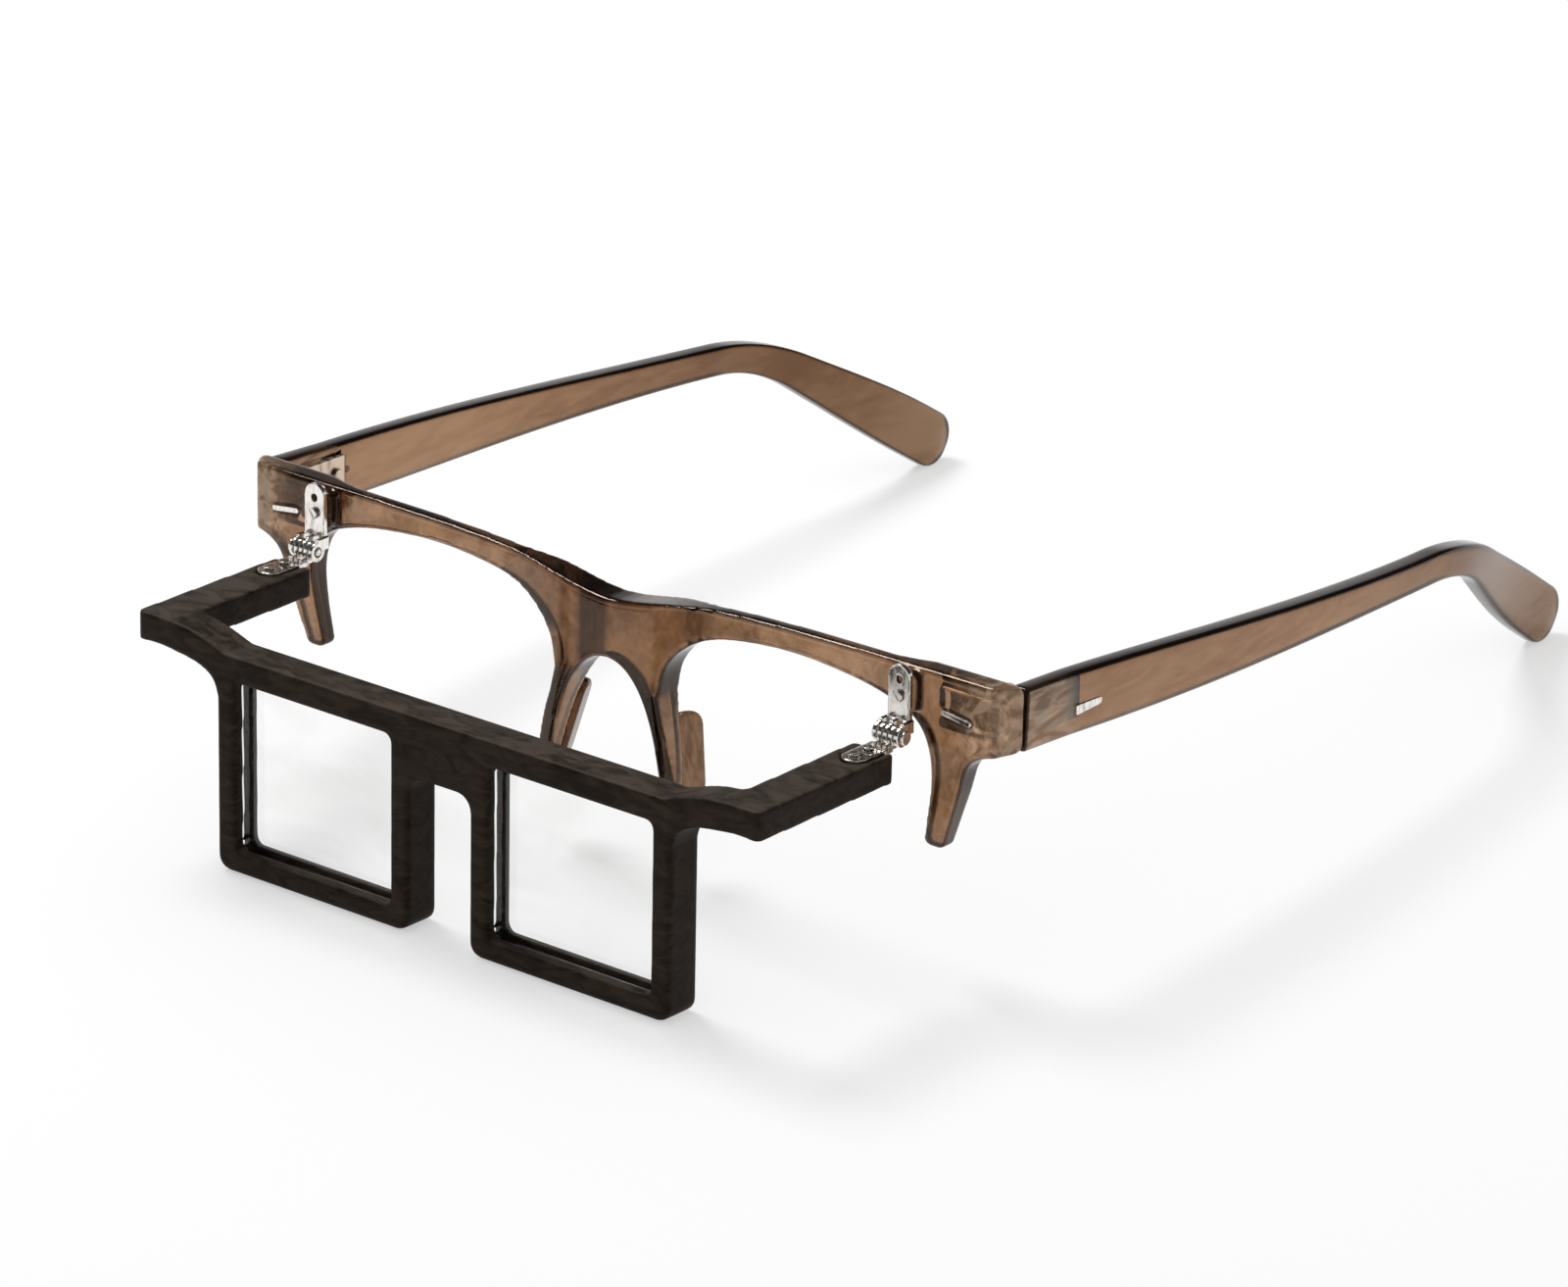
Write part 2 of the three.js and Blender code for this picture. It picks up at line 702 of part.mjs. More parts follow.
function templeX(s) {
  const toeStart = templeRun + toeSetback;
  const past = (s - toeStart) / (templeLength - toeStart);
  const inward = (past + Math.hypot(past, toeEase)) / 2;
  const bowStart = hingeLeafLength + 2;
  const bowed = THREE.MathUtils.clamp((s - bowStart) / (templeRun - bowStart), 0, 1);
  const bow = templeBow * Math.sin(bowed * Math.PI);
  return halfFront - templeThickness / 2 + bow - tipToe * Math.sin(inward * Math.PI / 2);
}

function templeRing(s, sides = 12) {
  const { y, z, slope } = templeLine(s);
  const x = templeX(s);
  const height = templeHeight(s);
  const toTip = smooth(s, templeRun, templeLength);
  const thickness = THREE.MathUtils.lerp(templeThickness, templeTipThickness, toTip);
  return Array.from({ length: sides }, (_, i) => {
    const angle = 2 * Math.PI * (i + 0.5) / sides;
    const across = Math.sign(Math.cos(angle)) * Math.abs(Math.cos(angle)) ** 0.4;
    const up = Math.sign(Math.sin(angle)) * Math.abs(Math.sin(angle)) ** 0.4 * height / 2;
    return new THREE.Vector3(
      x + across * thickness / 2,
      y + up * Math.sin(slope),
      z + up * Math.cos(slope),
    );
  });
}

function templeStations() {
  const along = [];
  for (let i = 0; i < 7; i += 1) along.push(templeRun * i / 7);
  for (let i = 0; i < 6; i += 1) along.push(templeRun + bendLength * i / 6);
  const roundStart = templeLength - templeTipHeight / 2;
  for (let i = 0; i < 5; i += 1) {
    along.push(THREE.MathUtils.lerp(templeRun + bendLength, roundStart, i / 5));
  }
  for (let i = 0; i <= 4; i += 1) {
    along.push(roundStart + templeTipHeight / 2 * Math.sin(i * Math.PI / 8));
  }
  return along;
}

// A bar that is wider at its front end, seen from the side, as y and z.
function templeBarOutline(grow = 0) {
  const start = templeStart + templeBarSetback;
  const middle = templeLine(templeBarSetback).z - templeBarDrop;
  const wide = templeBarWidth / 2 + grow;
  const narrow = templeBarEndWidth / 2 + grow;
  const end = start + templeBarLength - templeBarEndWidth / 2;
  return [
    [start - grow, middle - wide],
    [start - grow, middle + wide],
    ...arc(end, middle, narrow, 90, -90, 6),
  ];
}

// A plate with its outline seen from the +X side, from x0 to x1.
function sidePlate(outline, x0, x1) {
  const shape = new THREE.Shape(outline.map(([y, z]) => new THREE.Vector2(y, z)));
  const geometry = new THREE.ExtrudeGeometry(shape, { depth: x1 - x0, bevelEnabled: false });
  geometry.rotateX(Math.PI / 2).rotateZ(Math.PI / 2).translate(x0, 0, 0);
  return toSolid(geometry);
}

const templeFaceAtBar = templeX(templeBarSetback + templeBarLength / 2) + templeThickness / 2;

function makeTemple() {
  const slotDepth = barThickness - barProud + clearance;
  const face = templeFaceAtBar;
  const slot = sidePlate(templeBarOutline(clearance), face - slotDepth, face + 1);
  const holes = rearLeafRivets().map((y) => rod('x', rivetRadius + clearance,
    templeInner - 1, templeInner + rivetGrip + clearance, [y, hingeMidZ], 10));
  return cut(loft(templeStations().map((s) => templeRing(s))), slot, ...holes);
}

const templeBarOuter = templeFaceAtBar + barProud;
const templeBar = sidePlate(templeBarOutline(), templeBarOuter - barThickness, templeBarOuter);
addPair(temples, 'temple', makeTemple(), 'frontPlastic');
addPair(temples, 'temple_bar', templeBar, 'brightMetal');

// Flip hinges: an upper leaf on the front, a lower leaf on the holder's arm, and a pin.

const flipAxis = [flipAxisY, flipAxisZ];
const flipSlot = (flipBarrelLength + clearance) / flipKnuckles;
const flipStart = flipX - flipBarrelLength / 2;
const leafBack = leafFront + leafThickness;

function flipKnuckle(index, radius, grow = 0) {
  const from = flipStart + index * flipSlot;
  return rod('x', radius, from - grow, from + flipSlot - clearance + grow, flipAxis);
}

function flipTab(index, y0, y1, z0, z1) {
  const from = flipStart + index * flipSlot;
  return block(from, from + flipSlot - clearance, y0, y1, z0, z1);
}

function flipBore() {
  const radius = flipPinRadius + clearance;
  return rod('x', radius, flipStart - 1, flipStart + flipBarrelLength + 1, flipAxis, 12);
}

function makeUpperLeaf() {
  const half = leafWidth / 2;
  const low = flipAxisZ + flipBarrelRadius + clearance;
  const outline = [
    [flipX - half, low],
    ...arc(flipX, leafTop - half, half, 180, 0, 12),
    [flipX + half, low],
  ];
  let leaf = frontPlate(outline, leafFront, leafBack);
  for (let i = 0; i < flipKnuckles; i += 2) {
    const tab = flipTab(i, flipAxisY, leafBack, flipAxisZ, low + 0.1);
    leaf = joined(leaf, flipKnuckle(i, flipBarrelRadius), tab);
  }
  const openHole = rod('y', leafHoleRadius, leafFront - 1, leafBack + 1,
    [flipX, leafTop - openHoleDrop], 12);
  const screwHole = rod('y', smallScrewRadius + clearance, leafFront - 1, leafBack + 1,
    [flipX, leafScrewZ], 12);
  return cut(leaf, flipBore(), openHole, screwHole);
}

const lowerLeafTop = armTop + clearance;
const lowerLeafBottom = lowerLeafTop - leafThickness;
const lowerLeafBack = flipAxisY - flipBarrelRadius - clearance;
const lowerLeafFront = armEnd - lowerLeafLength;

function lowerLeafOutline(grow = 0) {
  const half = leafWidth / 2 + grow;
  return [
    [flipX - half, lowerLeafBack],
    ...arc(flipX, lowerLeafFront + half - grow, half, 180, 360, 12),
    [flipX + half, lowerLeafBack],
  ];
}

function lowerScrewPlaces() {
  return [armEnd - 1.7, lowerLeafFront + 1.7];
}

function makeLowerLeaf() {
  let leaf = topPlate(lowerLeafOutline(), lowerLeafBottom, lowerLeafTop);
  for (let i = 1; i < flipKnuckles; i += 2) {
    const tab = flipTab(i, lowerLeafBack - 0.1, flipAxisY, lowerLeafBottom, lowerLeafTop);
    leaf = joined(leaf, flipKnuckle(i, flipBarrelRadius), tab);
  }
  const holes = lowerScrewPlaces().map((y) => rod('z', smallScrewRadius + clearance,
    lowerLeafBottom - 1, lowerLeafTop + 1, [flipX, y], 12));
  return cut(leaf, flipBore(), ...holes);
}

function makeFlipPin() {
  const end = flipStart + flipBarrelLength;
  const shank = rod('x', flipPinRadius, flipStart - 0.1, end + clearance + 0.1, flipAxis, 12);
  const head = rod('x', flipPinRadius + 0.5, end + clearance, end + clearance + 0.35, flipAxis);
  return joined(shank, head);
}

function makeUpperScrew() {
  const seat = leafFront - clearance;
  const place = [flipX, leafScrewZ];
  const head = rod('y', smallScrewHeadRadius, seat - smallScrewHead, seat, place);
  const tip = leafFront + smallScrewLength;
  return joined(head, rod('y', smallScrewRadius, seat - 0.1, tip, place, 8));
}

function makeLowerScrew(y) {
  const seat = lowerLeafTop + clearance;
  const head = rod('z', smallScrewHeadRadius, seat, seat + smallScrewHead, [flipX, y]);
  const tip = lowerLeafTop - smallScrewLength;
  return joined(head, rod('z', smallScrewRadius, tip, seat + 0.1, [flipX, y], 8));
}

addPair(onFront, 'flip_hinge_upper_leaf', makeUpperLeaf(), 'brightMetal');
addPair(onFront, 'upper_leaf_screw', makeUpperScrew(), 'brightMetal');
addPair(onFront, 'flip_hinge_pin', makeFlipPin(), 'brightMetal');
addPair(onHolder, 'flip_hinge_lower_leaf', makeLowerLeaf(), 'brightMetal');
lowerScrewPlaces().forEach((y, i) => {
  addPair(onHolder, `lower_leaf_screw_${i + 1}`, makeLowerScrew(y), 'brightMetal');
});

// Holder: two window frames under one bridge piece, with a wing and an arm at each side.

function holderOutline() {
  const bottom = holderTop - holderHeight;
  const wingBottom = armTop - armHeight;
  const wingEnd = armOuter - armCornerRadius;
  const archCorner = 2.4;
  const gapTop = holderTop - holderBridgeHeight;
  return mirroredOutline([
    [0, holderTop],
    ...through([
      [holderHalfWidth - 1.5, holderTop],
      [holderHalfWidth + 2.6, holderTop + 0.55 * armLift],
      [holderHalfWidth + 6.2, armTop - 0.15 * armLift],
      [wingEnd - 3, armTop],
    ], 15),
    [wingEnd, armTop],
    [wingEnd, wingBottom],
    ...through([
      [wingEnd - 3.4, wingBottom],
      [holderHalfWidth + 4.4, wingBottom - 0.9],
      [holderHalfWidth + 1.1, wingBottom - 2.5],
      [holderHalfWidth, wingBottom - 5],
    ], 15),
    ...arc(holderHalfWidth - holderRound, bottom + holderRound, holderRound, 0, -90, 4),
    ...arc(holderHalfGap + holderRound, bottom + holderRound, holderRound, -90, -180, 4),
    ...arc(holderHalfGap - archCorner, gapTop - archCorner, archCorner, 0, 90, 4),
  ]);
}

function windowOutline(side, grow = 0) {
  const x0 = side > 0 ? windowLeft : -windowRight;
  const x1 = side > 0 ? windowRight : -windowLeft;
  const round = windowRound + grow / 2;
  return roundedRect(x0 - grow, x1 + grow, windowBottom - grow, windowTop + grow, round, 3);
}

function armOutline() {
  const corner = armCornerRadius;
  const back = 0.8;
  return [
    [armInner, holderFront + 1],
    [armOuter - corner, holderFront],
    ...arc(armOuter - corner, holderFront + corner, corner, -90, 0, 9),
    ...arc(armOuter - back, armEnd - back, back, 0, 90, 3),
    ...arc(armInner + back, armEnd - back, back, 90, 180, 3),
  ];
}

const lensFront = holderFront + lensRecess;
const lensBack = lensFront + lensThickness;

function makeHolder() {
  const holes = bothSides.map((side) => windowOutline(side));
  const back = holderFront + holderDepth;
  let frame = frontPlate(holderOutline(), holderFront, back, holderEdgeRound, holes);
  const arm = topPlate(armOutline(), armTop - armHeight, armTop);
  frame = joined(frame, arm, arm.mirror([1, 0, 0]));
  const pocketOutline = lowerLeafOutline(clearance);
  const pocket = topPlate(pocketOutline, lowerLeafBottom - clearance, armTop + 1);
  const screwHoles = lowerScrewPlaces().map((y) => rod('z', smallScrewRadius + clearance,
    lowerLeafTop - smallScrewLength - clearance, armTop, [flipX, y], 12));
  for (const side of bothSides) {
    const groove = frontPlate(windowOutline(side, grooveDepth), lensFront - clearance,
      lensBack + clearance);
    frame = cut(frame, groove);
  }
  const armCuts = joined(pocket, ...screwHoles);
  return cut(frame, armCuts, armCuts.mirror([1, 0, 0]));
}

const lensGrow = grooveDepth - clearance;
const lens = frontPlate(windowOutline(1, lensGrow), lensFront, lensBack);
addPart(holder, 'lens_holder_frame', makeHolder(), 'holderPlastic');
addPair(onHolder, 'clear_lens', lens, 'lensClear');

// Standing pose: the whole part leans back until the holder and the temple tips share a floor.

function lowestPoint(meshes, lean) {
  let lowest = Infinity;
  const point = new THREE.Vector3();
  for (const mesh of meshes) {
    const places = mesh.geometry.attributes.position;
    for (let i = 0; i < places.count; i += 1) {
      point.fromBufferAttribute(places, i).add(mesh.parent.position);
      lowest = Math.min(lowest, point.y * Math.sin(lean) + point.z * Math.cos(lean));
    }
  }
  return lowest;
}

function standingLean() {
  const front = holder.children;
  const back = [...temples.left.children, ...temples.right.children];
  let low = -0.5;
  let high = 0.5;
  for (let i = 0; i < 50; i += 1) {
    const lean = (low + high) / 2;
    if (lowestPoint(back, lean) > lowestPoint(front, lean)) high = lean;
    else low = lean;
  }
  return (low + high) / 2;
}

part.rotation.x = standingLean();
part.updateMatrixWorld(true);
const limits = new THREE.Box3().setFromObject(part, true);
part.position.set(0, -(limits.min.y + limits.max.y) / 2, -limits.min.z);

export default part;
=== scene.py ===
# Spectacles with a flip-up lens holder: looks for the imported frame.
import bpy
import bmesh
import itertools
import json
import math
from mathutils import Matrix, Vector

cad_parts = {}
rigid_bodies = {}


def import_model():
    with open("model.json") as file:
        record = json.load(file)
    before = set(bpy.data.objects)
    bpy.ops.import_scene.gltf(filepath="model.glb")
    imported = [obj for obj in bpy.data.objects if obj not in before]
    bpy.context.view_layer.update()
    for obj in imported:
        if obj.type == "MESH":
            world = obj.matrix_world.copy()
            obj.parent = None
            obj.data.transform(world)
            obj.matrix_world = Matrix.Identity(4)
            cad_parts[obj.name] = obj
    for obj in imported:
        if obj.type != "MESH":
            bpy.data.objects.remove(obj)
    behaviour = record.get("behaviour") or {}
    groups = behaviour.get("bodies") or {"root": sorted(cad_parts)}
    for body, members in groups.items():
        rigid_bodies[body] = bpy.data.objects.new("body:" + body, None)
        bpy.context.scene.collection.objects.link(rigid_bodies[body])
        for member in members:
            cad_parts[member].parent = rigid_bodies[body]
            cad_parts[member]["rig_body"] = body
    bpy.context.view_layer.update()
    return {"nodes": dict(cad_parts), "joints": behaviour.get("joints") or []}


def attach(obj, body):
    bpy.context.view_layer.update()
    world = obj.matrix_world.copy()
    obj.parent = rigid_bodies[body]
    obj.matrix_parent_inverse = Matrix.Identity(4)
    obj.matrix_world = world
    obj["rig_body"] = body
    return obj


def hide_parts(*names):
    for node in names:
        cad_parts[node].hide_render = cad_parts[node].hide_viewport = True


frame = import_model()
nodes = frame["nodes"]
scene = bpy.context.scene
sides = {"left": -1, "right": 1}  # which way each side lies along x
mm = 0.001
print("frame loaded:", len(nodes), "pieces")


def metres(lengths):
    return [length * mm for length in lengths]


# Camera

cameraView = {
    "lookAt": (31.93, -56.70, 41.61),  # millimetres
    "azimuth": 39.619,  # degrees, from straight ahead of the front towards +x
    "elevation": 23.031,
    "roll": -0.68,
    "distance": 1073.98,
    "lens": 176.21,
    "sensor": 36,
    "nearest": 10,
}


def makeCamera(view):
    azimuth = math.radians(view["azimuth"])
    elevation = math.radians(view["elevation"])
    outward = Vector((
        math.sin(azimuth) * math.cos(elevation),
        -math.cos(azimuth) * math.cos(elevation),
        math.sin(elevation),
    ))
    data = bpy.data.cameras.new("camera")
    data.lens = view["lens"]
    data.sensor_width = view["sensor"]
    data.clip_start = view["nearest"] * mm
    camera = bpy.data.objects.new("camera", data)
    scene.collection.objects.link(camera)
    turn = outward.to_track_quat("Z", "Y").to_matrix().to_4x4()
    turn = turn @ Matrix.Rotation(math.radians(view["roll"]), 4, "Z")
    place = (Vector(view["lookAt"]) + outward * view["distance"]) * mm
    camera.matrix_world = Matrix.Translation(place) @ turn
    scene.camera = camera


makeCamera(cameraView)


# Materials

def startMaterial(name):
    material = bpy.data.materials.new(name)
    material.use_nodes = True
    tree = material.node_tree
    return material, tree, tree.nodes["Principled BSDF"]


def addNode(tree, kind, **settings):
    node = tree.nodes.new(kind)
    for key, value in settings.items():
        setattr(node, key, value)
    return node


def objectPlace(tree, stretch=(1, 1, 1)):
    # Object coordinates in metres, stretched so that a grain runs along one axis.
    place = addNode(tree, "ShaderNodeTexCoord")
    mapping = addNode(tree, "ShaderNodeMapping")
    mapping.inputs["Scale"].default_value = stretch
    tree.links.new(place.outputs["Object"], mapping.inputs["Vector"])
    return mapping.outputs["Vector"]


def noise(tree, vector, scale, detail=3, distortion=0):
    node = addNode(tree, "ShaderNodeTexNoise")
    node.inputs["Scale"].default_value = scale
    node.inputs["Detail"].default_value = detail
    node.inputs["Distortion"].default_value = distortion
    tree.links.new(vector, node.inputs["Vector"])
    return node.outputs["Fac"]


def spread(tree, value, low, high, fromLow=0.3, fromHigh=0.7):
    # Turns one range of numbers into another. Unless told, it starts from the range that noise fills.
    node = addNode(tree, "ShaderNodeMapRange")
    node.inputs["From Min"].default_value = fromLow
    node.inputs["From Max"].default_value = fromHigh
    node.inputs["To Min"].default_value = low
    node.inputs["To Max"].default_value = high
    tree.links.new(value, node.inputs["Value"])
    return node.outputs["Result"]


def twoColours(tree, value, first, second, low=0.3, high=0.7):
    ramp = addNode(tree, "ShaderNodeValToRGB")
    ramp.color_ramp.elements[0].position = low
    ramp.color_ramp.elements[0].color = (*first, 1)
    ramp.color_ramp.elements[1].position = high
    ramp.color_ramp.elements[1].color = (*second, 1)
    tree.links.new(value, ramp.inputs["Fac"])
    return ramp.outputs["Color"]


def roughen(tree, shader, value, strength, distance):
    bump = addNode(tree, "ShaderNodeBump")
    bump.inputs["Strength"].default_value = strength
    bump.inputs["Distance"].default_value = distance
    tree.links.new(value, bump.inputs["Height"])
    tree.links.new(bump.outputs["Normal"], shader.inputs["Normal"])


colourSockets = {"A": 6, "B": 7, "result": 2}  # a mix node's sockets for colours


def darken(tree, colour, share, shade):
    # Multiplies a colour by a shade where the share is 1.
    return blend(tree, share, colour, shade, "MULTIPLY")


def blend(tree, share, first, second, way="MIX"):
    # The first is a link; the second is a link or a plain colour.
    node = addNode(tree, "ShaderNodeMix", data_type="RGBA", blend_type=way)
    tree.links.new(share, node.inputs["Factor"])
    tree.links.new(first, node.inputs[colourSockets["A"]])
    if isinstance(second, tuple):
        node.inputs[colourSockets["B"]].default_value = (*second, 1)
    else:
        tree.links.new(second, node.inputs[colourSockets["B"]])
    return node.outputs[colourSockets["result"]]


def calculate(tree, operation, first, second=0):
    node = addNode(tree, "ShaderNodeMath", operation=operation)
    for socket, value in zip(node.inputs, (first, second)):
        if isinstance(value, (int, float)):
            socket.default_value = value
        else:
            tree.links.new(value, socket)
    return node.outputs["Value"]


def alongAxis(tree, output, axis):
    # How far a coordinate or a normal reaches along an axis of the object.
    place = addNode(tree, "ShaderNodeTexCoord")
    product = addNode(tree, "ShaderNodeVectorMath", operation="DOT_PRODUCT")
    tree.links.new(place.outputs[output], product.inputs[0])
    product.inputs[1].default_value = axis
    return product.outputs["Value"]


def reachAcross(tree):
    # How far a point lies from the middle, to either side.
    return calculate(tree, "ABSOLUTE", alongAxis(tree, "Object", (1, 0, 0)))


smokyPlastic = {
    "clearer": (0.99, 0.93, 0.85),
    "darker": (0.58, 0.45, 0.33),
    "clouds": (55, 4, 0.6),  # how many to the metre, detail, distortion
    "streaks": (380, 5, 1.2),
    "streakShare": 0.35,
    "mottleEdges": (0.40, 0.58),
    "roughness": (0.054, 0.162),
    "clearness": 0.97,  # the rest is a faint milkiness
    "refraction": 1.49,
    "smoke": (0.545, 0.310, 0.030),
    "smokeDensity": 560,
    "sheenTint": (1.0, 0.80, 0.66),
    "sheen": 0.2,
    "milkDark": (0.40, 0.25, 0.15),
    "milkPale": (0.95, 0.68, 0.47),
    "milkiest": 0.6,  # how clear the plastic stays round a sunk hinge
    "tipShade": (0.52, 0.46, 0.40),
    "scratches": (900, 2),
    "relief": (0.12, 0.04 * mm),  # strength, height
    "paintedEdgeShade": (0.05, 0.036, 0.028),  # painted shade: the edges are darkened towards this colour
    "paintedEdgeTurn": (0.96, 0.70),  # how squarely a surface faces where the painted edge shade begins and is full
    "stretch": (1, 1, 1),
}


def makeSmokyPlastic(name, look, flat, dark=None, milky=None, shaded=None):
    # flat is the direction that the wide faces look in; dark holds the settings of the front's
    # painted shade.
    material, tree, shader = startMaterial(name)
    place = objectPlace(tree, look["stretch"])
    clouds = noise(tree, place, *look["clouds"])
    streaks = noise(tree, place, *look["streaks"])
    share = look["streakShare"]
    mottle = calculate(tree, "ADD", calculate(tree, "MULTIPLY", clouds, 1 - share),
                       calculate(tree, "MULTIPLY", streaks, share))
    colour = twoColours(tree, mottle, look["darker"], look["clearer"], *look["mottleEdges"])
    facing = calculate(tree, "ABSOLUTE", alongAxis(tree, "Normal", flat))
    # Painted shade: surfaces that turn away from the wide faces are darkened, drawing dark edges.
    paintedEdgeShare = spread(tree, facing, 0, 1, *look["paintedEdgeTurn"])
    if dark:
        paintedEdgeShare = calculate(tree, "MULTIPLY", paintedEdgeShare, paintedEdgeFade(tree, dark))
        paintedEdgeShare = calculate(tree, "MAXIMUM", paintedEdgeShare, paintedLegShade(tree, dark))
        paintedEdgeShare = calculate(tree, "MAXIMUM", paintedEdgeShare, paintedFoldShade(tree, dark))
    if shaded:
        colour = darken(tree, colour, shaded(tree), look["tipShade"])
    shader.inputs["Transmission Weight"].default_value = look["clearness"]
    if milky:
        # The plastic round a sunk hinge is milky, with dark and pale streaks.
        milkiness = milky(tree)
        milk = twoColours(tree, streaks, look["milkDark"], look["milkPale"],
                          *look["mottleEdges"])
        colour = blend(tree, milkiness, colour, milk)
        clear = spread(tree, milkiness, look["clearness"], look["milkiest"], 0, 1)
        tree.links.new(clear, shader.inputs["Transmission Weight"])
    # The painted edge shade darkens the colour here.
    colour = darken(tree, colour, paintedEdgeShare, look["paintedEdgeShade"])
    tree.links.new(colour, shader.inputs["Base Color"])
    scratches = noise(tree, place, *look["scratches"])
    polish = spread(tree, scratches, *look["roughness"])
    tree.links.new(polish, shader.inputs["Roughness"])
    roughen(tree, shader, scratches, *look["relief"])
    shader.inputs["IOR"].default_value = look["refraction"]
    shader.inputs["Specular IOR Level"].default_value = look["sheen"]
    shader.inputs["Specular Tint"].default_value = (*look["sheenTint"], 1)
    smoke = addNode(tree, "ShaderNodeVolumeAbsorption")
    smoke.inputs["Color"].default_value = (*look["smoke"], 1)
    smoke.inputs["Density"].default_value = look["smokeDensity"]
    output = tree.nodes["Material Output"]
    tree.links.new(smoke.outputs["Volume"], output.inputs["Volume"])
    return material


frontPaintedShade = {  # painted shade on the front; lengths in millimetres; a pair is where a change begins and where it is full
    "clearEnd": (66.5, 69.5),  # from the middle: the painted edge shade fades out over the endpieces
    "legReach": (13.6, 14.6),
    "legTop": (28.3, 27.1),  # above the floor: below this the inner legs' fronts get painted shade
    "legFace": (0.6, 0.8),  # how squarely a surface looks ahead where the painted leg shade begins and is full
    "legSide": 0.25,  # share of the painted edge shade kept on the legs' sides, the front face being 1
    "top": 0.62,  # share of the painted edge shade kept on upward faces, the other edges being 1
    "topTurn": (0.5, 0.9),
    "paintedFoldPlace": -3.5,  # painted shade: a dark band crosses the bridge here, where a fold would be
    "paintedFoldHalf": (0.9, 2.3),
}


def legZone(tree, look):
    near = spread(tree, reachAcross(tree), 1, 0, *metres(look["legReach"]))
    start, full = metres(look["legTop"])
    low = spread(tree, alongAxis(tree, "Object", (0, 0, 1)), 1, 0, full, start)
    return calculate(tree, "MULTIPLY", near, low)


def paintedEdgeFade(tree, look):
    # Where the painted edge shade is kept: it fades over the endpieces and is weaker on the legs'
    # sides and on upward faces.
    ends = spread(tree, reachAcross(tree), 1, 0, *metres(look["clearEnd"]))
    legs = spread(tree, legZone(tree, look), 1, look["legSide"], 0, 1)
    top = spread(tree, alongAxis(tree, "Normal", (0, 0, 1)), 1, look["top"], *look["topTurn"])
    return calculate(tree, "MULTIPLY", calculate(tree, "MULTIPLY", ends, legs), top)


def paintedLegShade(tree, look):
    # Painted shade: the inner nose legs' front faces are darkened.
    face = spread(tree, alongAxis(tree, "Normal", (0, -1, 0)), 0, 1, *look["legFace"])
    return calculate(tree, "MULTIPLY", legZone(tree, look), face)


def paintedFoldShade(tree, look):
    # Painted shade: a dark band across the bridge, darkest along its middle line.
    across = calculate(tree, "SUBTRACT", alongAxis(tree, "Object", (1, 0, 0)),
                       look["paintedFoldPlace"] * mm)
    away = calculate(tree, "ABSOLUTE", across)
    return spread(tree, away, 1, 0, *metres(look["paintedFoldHalf"]))


zones = {  # millimetres: where the milkiness and the darker tips begin and are full
    "front": (61, 65),  # either way from the middle
    "aboveLegs": (31, 35),
    "temple": (-40, -44),  # this one and the tip's run along y
    "tip": (20, 65),
}


def milkyFront(tree):
    outer = spread(tree, reachAcross(tree), 0, 1, *metres(zones["front"]))
    height = alongAxis(tree, "Object", (0, 0, 1))
    high = spread(tree, height, 0, 1, *metres(zones["aboveLegs"]))
    return calculate(tree, "MULTIPLY", outer, high)


def milkyTemple(tree):
    start, full = metres(zones["temple"])
    return spread(tree, alongAxis(tree, "Object", (0, 1, 0)), 1, 0, full, start)


def shadedTip(tree):
    return spread(tree, alongAxis(tree, "Object", (0, 1, 0)), 0, 1, *metres(zones["tip"]))


frontPlastic = {
    **smokyPlastic,
    "clearer": (0.50, 0.33, 0.22),
    "darker": (0.17, 0.10, 0.06),
    "smokeDensity": 220,
}

templePlastic = {
    **smokyPlastic,
    "stretch": (1, 0.25, 1),  # the clouds run along the temple
}

padPlastic = {
    **smokyPlastic,
    "clearer": (0.90, 0.82, 0.74),
    "darker": (0.38, 0.28, 0.21),
    "clouds": (1100, 4, 0.6),
    "smokeDensity": 640,
    # painted edge shade, lighter on the pads
    "paintedEdgeShade": (0.45, 0.38, 0.33),
    "stretch": (1, 1, 0.06),
}

holderPlastic = {
    "dark": (0.010, 0.0068, 0.0048),
    "light": (0.034, 0.025, 0.019),
    "colourEdges": (0.35, 0.7),
    # painted light: upward faces are blended towards this lighter top colour
    "top": (0.095, 0.074, 0.058),
    "paintedTopLightShare": 0.55,
    "topTurn": (0.6, 0.95),
    "paintedTopLightEdges": (0.35, 0.6),
    "sheen": 0.06,
    "sheenTint": (1.0, 0.78, 0.62),
    "strokes": (420, 6, 1.4),  # how many to the metre, detail, distortion
    "strokeStretch": (0.4, 0.7, 1.2),
    "roughness": (0.34, 0.6),
    "grain": (2400, 3),
    "grainHeight": 0.12,  # the strokes' height being 1
    "relief": (0.25, 0.12 * mm),
}


